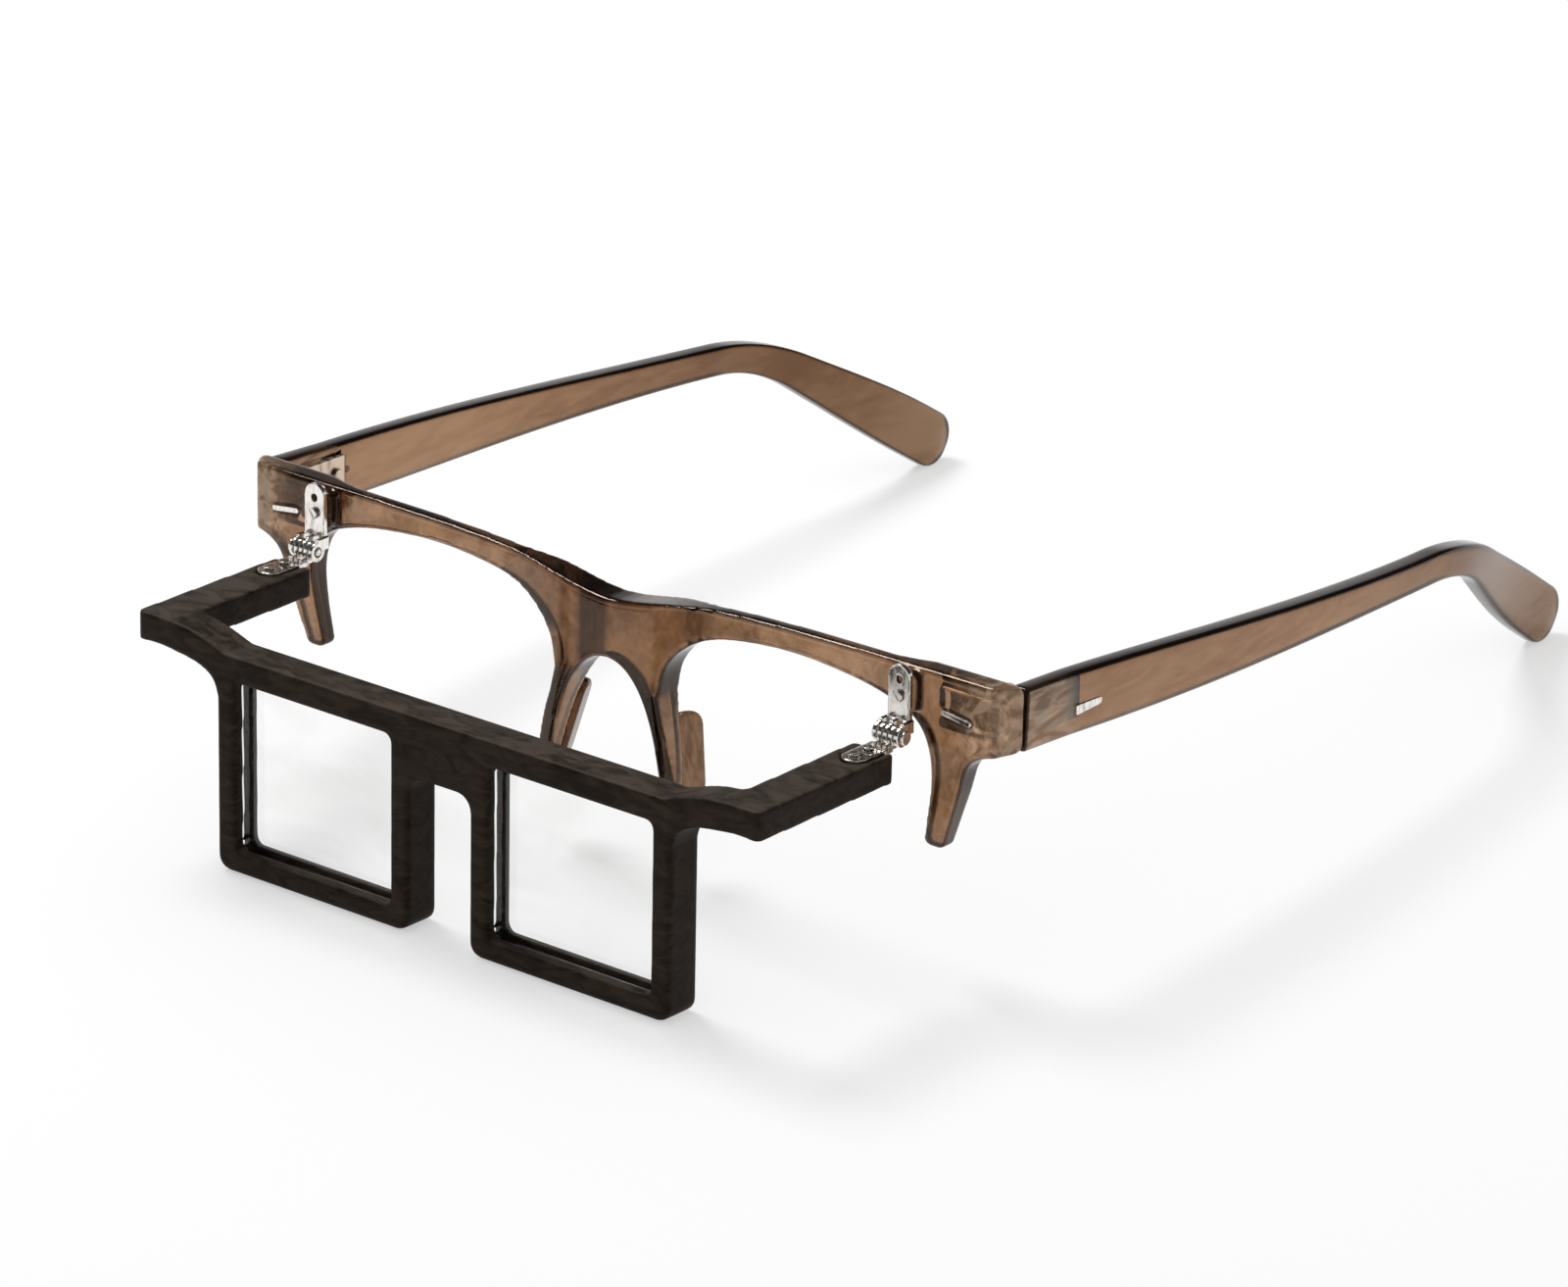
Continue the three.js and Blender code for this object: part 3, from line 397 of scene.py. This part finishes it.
def makeHolderPlastic(look):
    material, tree, shader = startMaterial("brushed black plastic")
    strokes = noise(tree, objectPlace(tree, look["strokeStretch"]), *look["strokes"])
    colour = twoColours(tree, strokes, look["dark"], look["light"], *look["colourEdges"])
    # Painted light: upward faces are lighter, blended towards the top colour.
    paintedTopColour = twoColours(tree, strokes, look["light"], look["top"], *look["paintedTopLightEdges"])
    upward = spread(tree, alongAxis(tree, "Normal", (0, 0, 1)), 0, look["paintedTopLightShare"],
                    *look["topTurn"])
    tree.links.new(blend(tree, upward, colour, paintedTopColour), shader.inputs["Base Color"])
    tree.links.new(spread(tree, strokes, *look["roughness"]), shader.inputs["Roughness"])
    grain = noise(tree, objectPlace(tree), *look["grain"])
    height = calculate(tree, "ADD", strokes, spread(tree, grain, 0, look["grainHeight"]))
    roughen(tree, shader, height, *look["relief"])
    shader.inputs["Specular IOR Level"].default_value = look["sheen"]
    shader.inputs["Specular Tint"].default_value = (*look["sheenTint"], 1)
    return material


brightMetal = {
    "colour": (0.86, 0.83, 0.79),
    "worn": (0.52, 0.47, 0.42),
    "wornEdges": (0.25, 0.55),
    # painted shade: hollows are darkened towards this colour
    "paintedCreaseShade": (0.05, 0.04, 0.035),
    "paintedCreaseEdges": (0.42, 0.495),  # pointiness, 0.5 being flat
    "roughness": (0.112, 0.24),
    "grain": (1400, 3),
    "grainStretch": (1, 1, 0.3),
    "relief": (0.08, 0.03 * mm),
}

dullMetal = {
    **brightMetal,
    "colour": (0.66, 0.53, 0.42),
    "worn": (0.32, 0.23, 0.17),
    # painted shade in the hollows of the dull metal
    "paintedCreaseShade": (0.06, 0.05, 0.04),
    "roughness": (0.196, 0.42),
    "grain": (900, 3),
}


def makeMetal(name, look):
    material, tree, shader = startMaterial(name)
    grain = noise(tree, objectPlace(tree, look["grainStretch"]), *look["grain"])
    metal = twoColours(tree, grain, look["worn"], look["colour"], *look["wornEdges"])
    # Painted shade: the colour darkens where the surface is hollow.
    shape = addNode(tree, "ShaderNodeNewGeometry")
    paintedCreaseShare = spread(tree, shape.outputs["Pointiness"], 1, 0, *look["paintedCreaseEdges"])
    creaseShadedColour = blend(tree, paintedCreaseShare, metal, look["paintedCreaseShade"])
    tree.links.new(creaseShadedColour, shader.inputs["Base Color"])
    tree.links.new(spread(tree, grain, *look["roughness"]), shader.inputs["Roughness"])
    roughen(tree, shader, grain, *look["relief"])
    shader.inputs["Metallic"].default_value = 1.0
    return material


lensGlass = {
    "tint": (0.97, 0.975, 0.97),
    "haze": (0.90, 0.90, 0.895),
    "hazeEdges": (0.3, 0.6),
    "smears": (60, 3, 0.8),
    "smearStretch": (1, 1, 2.2),
    "roughness": (0.0, 0.03),
    "refraction": 1.5,
    "shadow": (0.93, 0.93, 0.92),  # how much light the lens's own shadow keeps
}


def makeLensGlass(look):
    material, tree, shader = startMaterial("clear lens")
    smears = noise(tree, objectPlace(tree, look["smearStretch"]), *look["smears"])
    tint = twoColours(tree, smears, look["haze"], look["tint"], *look["hazeEdges"])
    tree.links.new(tint, shader.inputs["Base Color"])
    tree.links.new(spread(tree, smears, *look["roughness"]), shader.inputs["Roughness"])
    shader.inputs["Transmission Weight"].default_value = 1.0
    shader.inputs["IOR"].default_value = look["refraction"]
    passing = addNode(tree, "ShaderNodeBsdfTransparent")
    passing.inputs["Color"].default_value = (*look["shadow"], 1)
    rays = addNode(tree, "ShaderNodeLightPath")
    choice = addNode(tree, "ShaderNodeMixShader")
    tree.links.new(rays.outputs["Is Shadow Ray"], choice.inputs["Fac"])
    tree.links.new(shader.outputs["BSDF"], choice.inputs[1])
    tree.links.new(passing.outputs["BSDF"], choice.inputs[2])
    tree.links.new(choice.outputs["Shader"], tree.nodes["Material Output"].inputs["Surface"])
    return material


frontFinish = makeSmokyPlastic("smoky brown plastic", frontPlastic, (0, 1, 0),
                               dark=frontPaintedShade, milky=milkyFront)
templeFinish = makeSmokyPlastic("smoky brown temple plastic", templePlastic, (1, 0, 0),
                                milky=milkyTemple, shaded=shadedTip)
padFinish = makeSmokyPlastic("nose pad plastic", padPlastic, (0.4, 0.9, 0))
holderFinish = makeHolderPlastic(holderPlastic)
brightFinish = makeMetal("bright hinge metal", brightMetal)
dullFinish = makeMetal("dull hinge metal", dullMetal)
lensFinish = makeLensGlass(lensGlass)
print("materials made")


# Pieces: skins drawn over the frame's own solids

def asPiece(mesh, name, material, slotName, *replacedNodes):
    piece = bpy.data.objects.new(name, mesh)
    scene.collection.objects.link(piece)
    mesh.materials.clear()
    mesh.materials.append(material)
    for face in mesh.polygons:
        face.use_smooth = True
    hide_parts(*replacedNodes)
    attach(piece, nodes[replacedNodes[0]]["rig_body"])


# The right temple's hinge ties millimetres measured on the upright front to the leaning scene.
hingeOnFront = Vector((66.05, 7.0, -4.6))
hinge = next(joint for joint in frame["joints"] if joint["name"] == "right_temple_fold")
hingePlace = Vector(hinge["pos_m"])
leaning = Matrix.Rotation(-math.atan2(hinge["axis"][1], hinge["axis"][2]), 3, "X")


def toWorld(point, sign):
    place = hingePlace + leaning @ ((Vector(point) - hingeOnFront) * mm)
    return Vector((sign * place.x, place.y, place.z))


def pocketCutter(pocket, sign):
    shape = bmesh.new()
    for corner in itertools.product(*zip(pocket["low"], pocket["high"])):
        shape.verts.new(toWorld(corner, sign))
    bmesh.ops.convex_hull(shape, input=shape.verts)
    bmesh.ops.recalc_face_normals(shape, faces=shape.faces)
    mesh = bpy.data.meshes.new("pocket")
    shape.to_mesh(mesh)
    shape.free()
    cutter = bpy.data.objects.new("pocket", mesh)
    scene.collection.objects.link(cutter)
    return cutter


def sinkPockets(helper, cutters):
    for cutter in cutters:
        sink = helper.modifiers.new("sunk hinge leaf", "BOOLEAN")
        sink.operation = "DIFFERENCE"
        sink.solver = "EXACT"
        sink.object = cutter


def evaluatedCopy(helper, cutters):
    graph = bpy.context.evaluated_depsgraph_get()
    result = bpy.data.meshes.new_from_object(helper.evaluated_get(graph))
    for spent in (helper, *cutters):
        bpy.data.objects.remove(spent)
    return result


weldGap = 0.01  # millimetres: corners nearer than this are one
easingFactor = 0.5


def softSkin(nodeName, skin, cutters=()):
    # A fine, even skin over one solid, with its sharp edges eased.
    base = bmesh.new()
    base.from_mesh(nodes[nodeName].data)
    bmesh.ops.remove_doubles(base, verts=base.verts, dist=weldGap * mm)
    mesh = bpy.data.meshes.new(nodeName + "_skin")
    base.to_mesh(mesh)
    base.free()
    helper = bpy.data.objects.new(nodeName + "_helper", mesh)
    scene.collection.objects.link(helper)
    sinkPockets(helper, cutters)
    remesh = helper.modifiers.new("even skin", "REMESH")
    remesh.mode = "VOXEL"
    remesh.voxel_size = skin["grid"] * mm
    easing = helper.modifiers.new("eased edges", "SMOOTH")
    easing.factor = easingFactor
    easing.iterations = skin["easing"]
    return evaluatedCopy(helper, cutters)


# Front and its nose pads

frontSkin = {"grid": 0.3, "easing": 7}  # grid in millimetres, easing in passes
frontPocket = {"low": (58.5, 2.2, -7.7), "high": (67.6, 5.5, -1.5)}  # the hinge's leaf is behind it
padSkin = {"grid": 0.16, "easing": 8}

frontCutters = [pocketCutter(frontPocket, sign) for sign in sides.values()]
asPiece(softSkin("front_frame", frontSkin, frontCutters), "spectacle_front", frontFinish,
        "smoke_plastic", "front_frame")
for side in sides:
    name = "nose_pad_" + side
    asPiece(softSkin(name, padSkin), name + "_moulded", padFinish, "pad_plastic", name)
print("front and nose pads made")


# Temples: lofted along a line that sags, bends down behind the ear and toes in

temple = {  # millimetres and degrees
    "halfFront": 71.6,
    "start": 4.8,
    "middle": -4.6,
    "run": 100.6,
    "sag": 3.0,
    "drop": 32.1,
    "bendRadius": 36.9,
    "tip": 35.8,
    "bow": 1.4,
    "bowStart": 10.5,
    "toe": 10.1,
    "toeSetback": 9.0,
    "toeEase": 0.2,
    "thickness": 3.8,
    "tipThickness": 3.0,
    "tipThinning": 0.55,  # how much of the tip's rounding its thickness takes
    "rootHeight": 9.2,
    "neckHeight": 4.7,
    "neckStart": 0.1,  # share of the run where the height begins to fall
    "neckSetback": 2.0,
    "tipHeight": 9.2,
    "edgeRound": 0.45,
    "squareness": 0.36,  # 1 gives an oval section, 0 a sharp box
    "sections": 110,
    "startSections": 5,
    "tipSections": 16,
    "sectionGap": 0.4,
    "sides": 32,
}

templePocket = {"low": (67.0, 8.3, -7.6), "high": (69.7, 17.6, -1.6)}


def smooth(value, start, end):
    share = min(1, max(0, (value - start) / (end - start)))
    return share * share * (3 - 2 * share)


def mix(first, second, share):
    return first + (second - first) * share


bendLength = temple["bendRadius"] * math.radians(temple["drop"] - temple["sag"])
templeLength = temple["run"] + bendLength + temple["tip"]
tipStart = templeLength - temple["tipHeight"] / 2  # where the tip's round end begins


def templeLine(s):
    # Place and slope of the temple at a distance along it.
    t = temple
    sag = math.radians(t["sag"])
    drop = math.radians(t["drop"])
    run = min(s, t["run"])
    slope = sag + min(max(0, s - t["run"]), bendLength) / t["bendRadius"]
    tip = max(0, s - t["run"] - bendLength)
    y = t["start"] + run * math.cos(sag) + tip * math.cos(drop)
    y += t["bendRadius"] * (math.sin(slope) - math.sin(sag))
    z = t["middle"] - run * math.sin(sag) - tip * math.sin(drop)
    z += t["bendRadius"] * (math.cos(slope) - math.cos(sag))
    toeStart = t["run"] + t["toeSetback"]
    past = (s - toeStart) / (templeLength - toeStart)
    inward = (past + math.hypot(past, t["toeEase"])) / 2
    bowed = min(1, max(0, (s - t["bowStart"]) / (t["run"] - t["bowStart"])))
    x = t["halfFront"] - t["thickness"] / 2 + t["bow"] * math.sin(bowed * math.pi)
    x -= t["toe"] * math.sin(inward * math.pi / 2)
    return x, y, z, slope


def templeSize(s):
    # Height and thickness of the temple at a distance along it.
    t = temple
    neckAt = t["run"] + t["neckSetback"]
    neck = mix(t["rootHeight"], t["neckHeight"], smooth(s, t["neckStart"] * t["run"], neckAt))
    height = mix(neck, t["tipHeight"], smooth(s, neckAt, templeLength - t["tipHeight"]))
    thickness = mix(t["thickness"], t["tipThickness"], smooth(s, t["run"], templeLength))
    past = max(0, s - tipStart) / (templeLength - tipStart)
    rounding = math.sqrt(max(0, 1 - past * past))
    height *= rounding
    thickness *= mix(1, rounding, t["tipThinning"])
    near = min(1, s / t["edgeRound"])
    ease = t["edgeRound"] * (1 - math.sqrt(max(0, 1 - (1 - near) ** 2)))
    return height - 2 * ease, thickness - 2 * ease


def templeStations():
    # Distances along the temple, closer together where its ends are rounded.
    t = temple
    startStep = math.pi / 2 / t["startSections"]
    tipStep = math.pi / 2 / t["tipSections"]
    first = [t["edgeRound"] * (1 - math.cos(i * startStep)) for i in range(t["startSections"] + 1)]
    last = [tipStart + (templeLength - tipStart) * math.sin(i * tipStep)
            for i in range(t["tipSections"])]
    even = [templeLength * i / t["sections"] for i in range(t["sections"])]
    middle = [s for s in even if first[-1] + t["sectionGap"] < s < tipStart - t["sectionGap"]]
    return first + middle + last


def squared(value):
    return math.copysign(abs(value) ** temple["squareness"], value)


def templeRing(shape, s, sign):
    x, y, z, slope = templeLine(s)
    height, thickness = templeSize(s)
    ring = []
    for i in range(temple["sides"]):
        angle = 2 * math.pi * (i + 0.5) / temple["sides"]
        across = squared(math.cos(angle)) * thickness / 2
        up = squared(math.sin(angle)) * height / 2
        point = (x + across, y + up * math.sin(slope), z + up * math.cos(slope))
        ring.append(shape.verts.new(toWorld(point, sign)))
    return ring


def makeTempleMesh(sign):
    shape = bmesh.new()
    rings = [templeRing(shape, s, sign) for s in templeStations()]
    count = temple["sides"]
    for near, far in zip(rings, rings[1:]):
        for i in range(count):
            j = (i + 1) % count
            shape.faces.new((near[i], near[j], far[j], far[i]))
    shape.faces.new(rings[0])
    shape.faces.new(rings[-1][::-1])
    bmesh.ops.recalc_face_normals(shape, faces=shape.faces)
    mesh = bpy.data.meshes.new("temple")
    shape.to_mesh(mesh)
    shape.free()
    return mesh


def sunkTemple(sign):
    helper = bpy.data.objects.new("temple helper", makeTempleMesh(sign))
    scene.collection.objects.link(helper)
    cutters = [pocketCutter(templePocket, sign)]
    sinkPockets(helper, cutters)
    return evaluatedCopy(helper, cutters)


for side, sign in sides.items():
    asPiece(sunkTemple(sign), "temple_" + side + "_polished", templeFinish,
            "smoke_plastic", "temple_" + side)
print("temples made")


# Lens holder

holderSkin = {"grid": 0.34, "easing": 4}

asPiece(softSkin("lens_holder_frame", holderSkin), "lens_holder", holderFinish,
        "holder_plastic", "lens_holder_frame")
for side in sides:
    nodes["clear_lens_" + side].data.materials.clear()
    nodes["clear_lens_" + side].data.materials.append(lensFinish)
print("lens holder made")


# Hinges, screws and decorative bars

leafSkin = {"grid": 0.1, "easing": 4}
screwSkin = {"grid": 0.06, "easing": 3}
driverSlot = {"width": 0.26, "depth": 0.16}  # millimetres
ahead = leaning @ Vector((0, -1, 0))
upwards = leaning @ Vector((0, 0, 1))
slottedScrews = {  # which way each head looks, and the direction across its slot
    "upper_leaf_screw_": (ahead, Vector((0.8, 0, 0.6))),
    "lower_leaf_screw_1_": (upwards, Vector((0.6, 0.8, 0))),
    "lower_leaf_screw_2_": (upwards, Vector((0.9, -0.44, 0))),
}
brightPieces = ("flip_hinge_upper_leaf_", "flip_hinge_lower_leaf_", "flip_hinge_pin_",
                "front_bar_", "temple_bar_")
dullPieces = ("temple_hinge_front_leaf_", "temple_hinge_rear_leaf_", "temple_hinge_screw_")
rivets = ("front_leaf_rivet_1_", "rear_leaf_rivet_1_", "front_leaf_rivet_2_", "rear_leaf_rivet_2_")


def cutSlot(mesh, headSide, across, slot):
    # A driver slot pressed into the outer face of a screw head.
    places = [vertex.co.copy() for vertex in mesh.vertices]
    low = Vector([min(place[i] for place in places) for i in range(3)])
    high = Vector([max(place[i] for place in places) for i in range(3)])
    centre = (low + high) / 2
    outer = max(place.dot(headSide) for place in places)
    for vertex in mesh.vertices:
        below = outer - vertex.co.dot(headSide)
        away = abs((vertex.co - centre).dot(across))
        if below < slot["depth"] * mm and away < slot["width"] / 2 * mm:
            vertex.co -= headSide * slot["depth"] * mm


def easedPieces(names, skin, finish, slotName):
    for name in names:
        asPiece(softSkin(name, skin), name + "_eased", finish, slotName, name)


for side in sides:
    easedPieces([name + side for name in brightPieces], leafSkin, brightFinish, "bright_metal")
    for name, (headSide, across) in slottedScrews.items():
        mesh = softSkin(name + side, screwSkin)
        cutSlot(mesh, headSide, across, driverSlot)
        asPiece(mesh, name + side + "_slotted", brightFinish, "bright_metal", name + side)
    easedPieces([name + side for name in dullPieces], leafSkin, dullFinish, "dark_metal")
    easedPieces([name + side for name in rivets], screwSkin, dullFinish, "dark_metal")
print("hinges and screws made")


# Floor, world and light

studio = {  # lengths in metres
    "floorSize": 8.0,
    "floorDrop": 0.0001,  # the floor lies just under the part
    "floorColour": (0.8, 0.8, 0.8, 1),
    "shownFloor": (0.5, 0.5, 0.5, 1),
    "shownGlow": 0.5,
    "skyStrength": 0.62,
    "ceiling": 0.04,  # how the dark ceiling shows in gloss, the horizon being 1
    "ceilingRise": (0.08, 0.36),
    "lampPlace": (-0.55, 0.12, 0.95),
    "lampAim": (0.02, -0.03, 0.0),
    "lampSize": 0.42,
    "lampPower": 6.0,
}


def seenRays(tree):
    # 1 for rays that come from the camera, straight or by way of gloss or glass.
    rays = addNode(tree, "ShaderNodeLightPath")
    seen = rays.outputs["Is Camera Ray"]
    for kind in ("Is Glossy Ray", "Is Transmission Ray"):
        seen = calculate(tree, "MAXIMUM", seen, rays.outputs[kind])
    return seen


def makeFloor(look):
    mesh = bpy.data.meshes.new("floor")
    half = look["floorSize"] / 2
    corners = [(-half, -half, 0), (half, -half, 0), (half, half, 0), (-half, half, 0)]
    mesh.from_pydata(corners, [], [(0, 1, 2, 3)])
    floor = bpy.data.objects.new("floor", mesh)
    floor.location.z = -look["floorDrop"]
    scene.collection.objects.link(floor)
    material, tree, shader = startMaterial("pale floor")
    shader.inputs["Base Color"].default_value = look["floorColour"]
    shader.inputs["Roughness"].default_value = 1.0
    shader.inputs["Specular IOR Level"].default_value = 0.0
    matt = addNode(tree, "ShaderNodeBsdfDiffuse")
    matt.inputs["Color"].default_value = look["shownFloor"]
    glow = addNode(tree, "ShaderNodeEmission")
    glow.inputs["Strength"].default_value = look["shownGlow"]
    shown = addNode(tree, "ShaderNodeAddShader")
    tree.links.new(matt.outputs["BSDF"], shown.inputs[0])
    tree.links.new(glow.outputs["Emission"], shown.inputs[1])
    choice = addNode(tree, "ShaderNodeMixShader")
    tree.links.new(seenRays(tree), choice.inputs["Fac"])
    tree.links.new(shader.outputs["BSDF"], choice.inputs[1])
    tree.links.new(shown.outputs["Shader"], choice.inputs[2])
    tree.links.new(choice.outputs["Shader"], tree.nodes["Material Output"].inputs["Surface"])
    mesh.materials.append(material)


def makeSky(look):
    world = bpy.data.worlds.new("studio")
    world.use_nodes = True
    scene.world = world
    tree = world.node_tree
    sky = tree.nodes["Background"]
    sky.inputs["Color"].default_value = (1, 1, 1, 1)
    upward = alongAxis(tree, "Generated", (0, 0, 1))
    shown = spread(tree, upward, 1.0, look["ceiling"], *look["ceilingRise"])
    strength = addNode(tree, "ShaderNodeMix", data_type="FLOAT")
    tree.links.new(seenRays(tree), strength.inputs["Factor"])
    strength.inputs["A"].default_value = look["skyStrength"]
    tree.links.new(shown, strength.inputs["B"])
    tree.links.new(strength.outputs["Result"], sky.inputs["Strength"])


def makeLamp(look):
    data = bpy.data.lights.new("soft lamp", "AREA")
    data.shape = "DISK"
    data.size = look["lampSize"]
    data.energy = look["lampPower"]
    lamp = bpy.data.objects.new("soft lamp", data)
    scene.collection.objects.link(lamp)
    place = Vector(look["lampPlace"])
    turn = (place - Vector(look["lampAim"])).to_track_quat("Z", "Y")
    lamp.matrix_world = Matrix.Translation(place) @ turn.to_matrix().to_4x4()


makeFloor(studio)
makeSky(studio)
makeLamp(studio)
scene.view_settings.view_transform = "Standard"
print("studio made")
